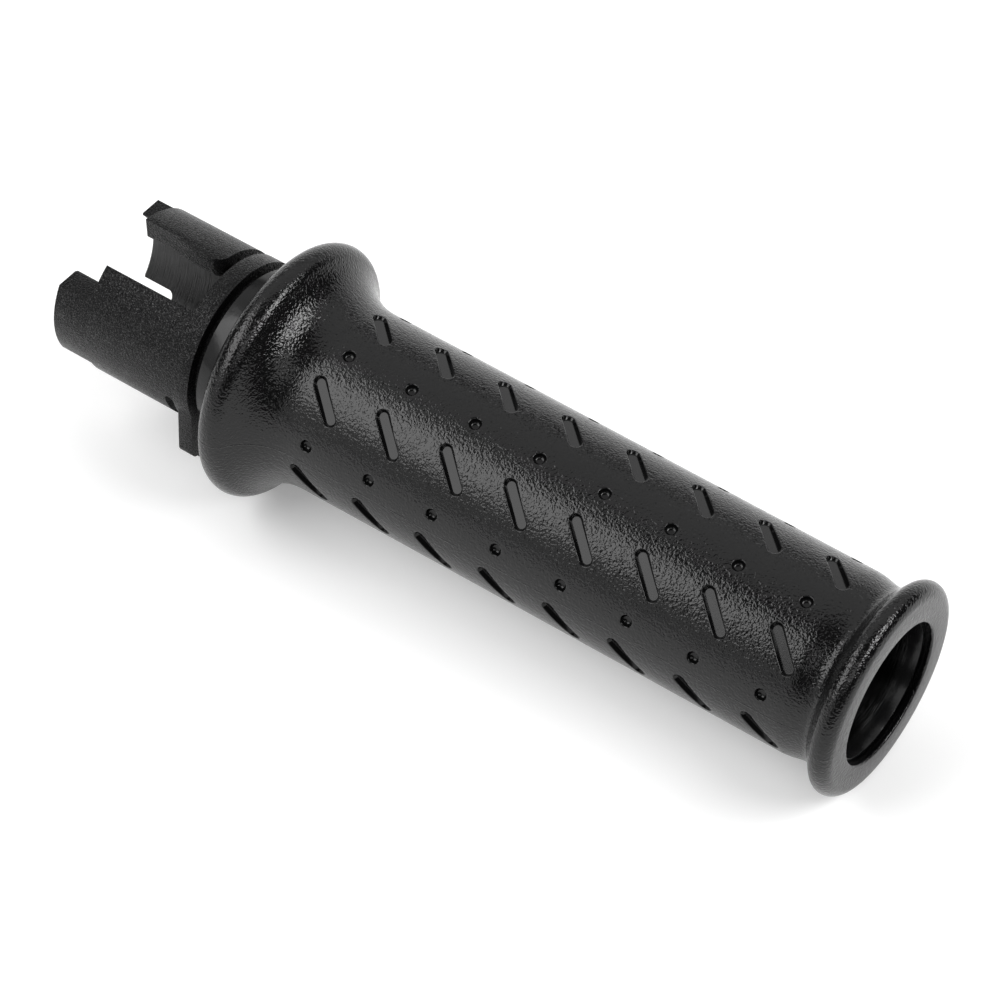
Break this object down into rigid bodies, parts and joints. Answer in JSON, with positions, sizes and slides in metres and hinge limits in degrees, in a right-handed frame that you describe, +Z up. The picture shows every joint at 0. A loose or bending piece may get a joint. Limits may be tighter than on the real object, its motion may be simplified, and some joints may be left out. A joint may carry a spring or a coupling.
{
  "type": "throttle grip",
  "caption": "Motorcycle throttle grip: rubber sleeve with slots, dimples, round flange and end lip, moulded on a tube that ends in a forked drive with a stop lug.",
  "frame": {"origin": "on the bore axis, at the inboard face of the ring where the two arms of the fork begin", "axes": "+X along the handlebar bore, outboard, +Z up with the fork's arms towards -Y and +Y"},
  "size_m": [0.1547, 0.0458, 0.0458],
  "materials": {
    "tube_plastic": "fine spark-eroded black moulding, smoother on the collar",
    "grip_rubber": "black rubber with a fine leather grain and a soft sheen"
  },
  "bodies": {
    "root": {"throttle_tube": "tube_plastic", "rubber_grip": "grip_rubber"}
  },
  "joints": []
}
